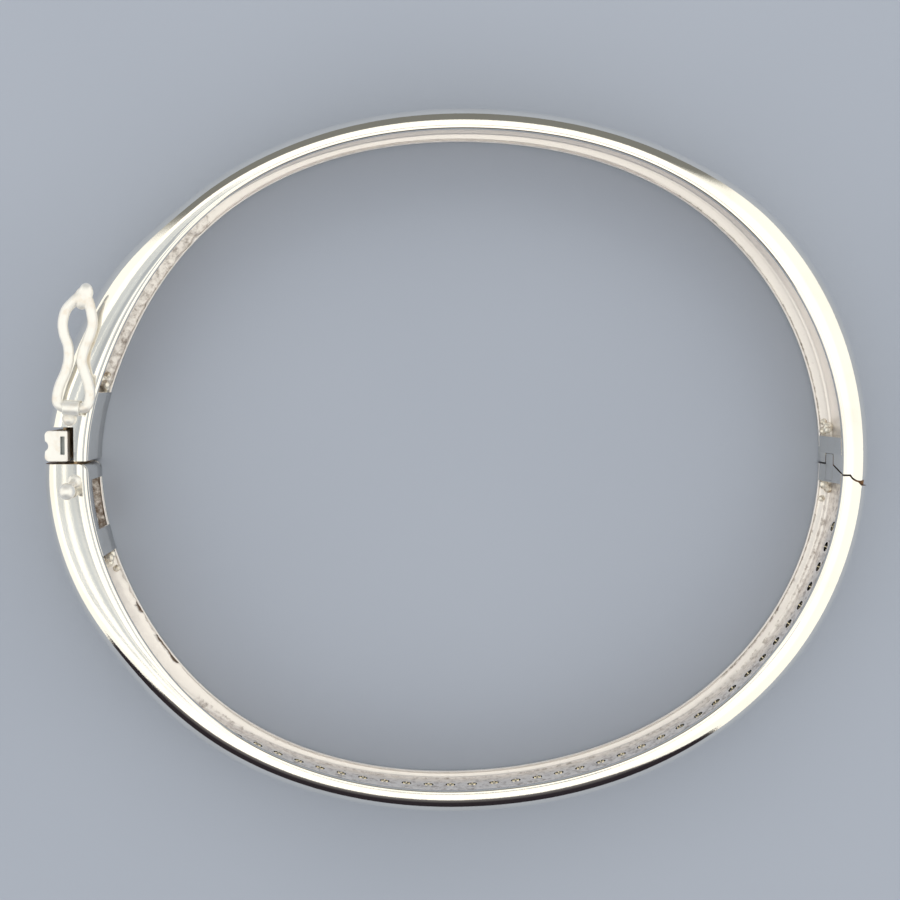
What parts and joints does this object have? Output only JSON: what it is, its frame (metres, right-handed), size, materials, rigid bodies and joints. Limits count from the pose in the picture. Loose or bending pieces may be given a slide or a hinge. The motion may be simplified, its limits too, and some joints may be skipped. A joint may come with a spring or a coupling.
{
  "type": "hinged bangle bracelet",
  "caption": "Oval hinged bangle in silver with a domed hollow band, a line of round clear stones on the front, a sprung tongue clasp with a thumb piece and a figure-eight safety catch.",
  "frame": {"origin": "middle of the bounding box on the plane the bangle lies on", "axes": "+Z along the wrist, from the side face it lies on to the side with the safety catch; +X towards the hinge, -X towards the clasp; +Y towards the plain back half, -Y towards the stone-set front half"},
  "size_m": [0.0678, 0.058, 0.0086],
  "materials": {
    "silver_polished": "polished silver",
    "silver_plate": "lightly polished silver plate",
    "silver_wire": "polished silver wire and findings",
    "silver_spring": "slightly tarnished hard silver",
    "clear_stone": "faceted clear stone"
  },
  "bodies": {
    "back_half": {"back_shell": "silver_polished", "back_clasp_plate": "silver_plate", "back_hinge_block": "silver_plate", "hinge_knuckle_top": "silver_polished", "hinge_knuckle_bottom": "silver_polished", "hinge_pin": "silver_spring", "catch_tube": "silver_wire"},
    "front_half": {"front_shell": "silver_polished", "front_clasp_plate": "silver_plate", "front_hinge_block": "silver_plate", "front_end_wall": "silver_plate", "hinge_knuckle_middle": "silver_polished", "tongue_leaf": "silver_spring", "catch_stud": "silver_wire", "stone_01": "clear_stone", "stone_02": "clear_stone", "stone_03": "clear_stone", "stone_04": "clear_stone", "stone_05": "clear_stone", "stone_06": "clear_stone", "stone_07": "clear_stone", "stone_08": "clear_stone", "stone_09": "clear_stone", "stone_10": "clear_stone", "stone_11": "clear_stone", "stone_12": "clear_stone", "stone_13": "clear_stone", "stone_14": "clear_stone", "stone_15": "clear_stone", "stone_16": "clear_stone", "stone_17": "clear_stone", "stone_18": "clear_stone", "stone_19": "clear_stone", "stone_20": "clear_stone", "stone_21": "clear_stone", "stone_22": "clear_stone", "stone_23": "clear_stone", "stone_24": "clear_stone", "stone_25": "clear_stone", "stone_26": "clear_stone", "stone_27": "clear_stone", "stone_28": "clear_stone", "stone_29": "clear_stone", "stone_30": "clear_stone", "stone_31": "clear_stone", "stone_32": "clear_stone", "stone_33": "clear_stone", "stone_34": "clear_stone", "stone_35": "clear_stone", "stone_36": "clear_stone", "stone_37": "clear_stone", "stone_38": "clear_stone", "stone_39": "clear_stone", "stone_40": "clear_stone"},
    "push_tongue": {"tongue_spring": "silver_spring", "thumb_piece": "silver_wire"},
    "safety_catch": {"catch_wire": "silver_wire"}
  },
  "joints": [
    {"name": "bangle_hinge", "type": "hinge", "parent": "back_half", "child": "front_half", "pos_m": [0.03268, -0.0004, 0.0035], "axis": [0, 0, 1], "range_deg": [0, 60]},
    {"name": "tongue_press", "type": "hinge", "parent": "front_half", "child": "push_tongue", "pos_m": [-0.03162, 0.00508, 0.0035], "axis": [0, 0, 1], "range_deg": [0, 5], "stiffness_Nm_per_rad": 0.2},
    {"name": "catch_flip", "type": "hinge", "parent": "back_half", "child": "safety_catch", "pos_m": [-0.03127, 0.00455, 0.00762], "axis": [0.9976, -0.0698, 0], "range_deg": [0, 180]}
  ]
}
